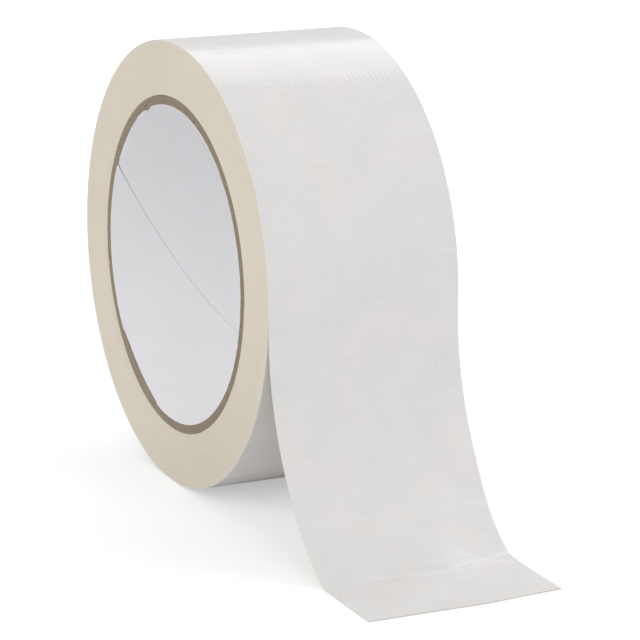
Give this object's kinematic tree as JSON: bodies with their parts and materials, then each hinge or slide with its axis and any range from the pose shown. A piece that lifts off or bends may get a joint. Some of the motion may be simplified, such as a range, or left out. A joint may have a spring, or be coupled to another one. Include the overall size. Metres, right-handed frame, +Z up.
{
  "type": "cloth tape roll",
  "caption": "Roll of white cloth tape on a wide paper core, its free end pulled off the front of the roll, hanging in a curve and lying flat.",
  "frame": {"origin": "on the surface that the roll stands on, under the middle of the whole object, tail included", "axes": "+X along the roll's axis, -Y the way that the tail runs out, +Z up"},
  "size_m": [0.048, 0.1584, 0.1067],
  "materials": {
    "tape_film": "satin white polyethylene film with fine woven ribs",
    "scrim_cloth": "open plain weave",
    "adhesive": "cream, matt at the cut edge",
    "liner_paper": "smooth white",
    "core_board": "rough cut greyboard"
  },
  "bodies": {
    "roll": {"core_liner": "liner_paper", "core_ply_1": "core_board", "core_ply_2": "core_board", "core_ply_3": "core_board", "core_ply_4": "core_board", "tape_winding": "tape_film"},
    "tail_upper": {"tail_upper_film": "tape_film", "tail_upper_scrim": "scrim_cloth", "tail_upper_adhesive": "adhesive"},
    "tail_lower": {"tail_lower_film": "tape_film", "tail_lower_scrim": "scrim_cloth", "tail_lower_adhesive": "adhesive"},
    "tail_tip": {"tail_tip_film": "tape_film", "tail_tip_scrim": "scrim_cloth", "tail_tip_adhesive": "adhesive"}
  },
  "joints": [
    {"name": "tail_peel", "type": "hinge", "parent": "roll", "child": "tail_upper", "pos_m": [0, -0.02758, 0.05333], "axis": [-1, 0, 0], "range_deg": [0, 75], "stiffness_Nm_per_rad": 0.0002},
    {"name": "tail_hang", "type": "hinge", "parent": "tail_upper", "child": "tail_lower", "pos_m": [0, -0.03761, 0.01927], "axis": [-1, 0, 0], "range_deg": [-15, 45], "stiffness_Nm_per_rad": 0.0005},
    {"name": "tail_bend", "type": "hinge", "parent": "tail_lower", "child": "tail_tip", "pos_m": [0, -0.05744, 0.00171], "axis": [-1, 0, 0], "range_deg": [-15, 60], "stiffness_Nm_per_rad": 0.0005}
  ]
}
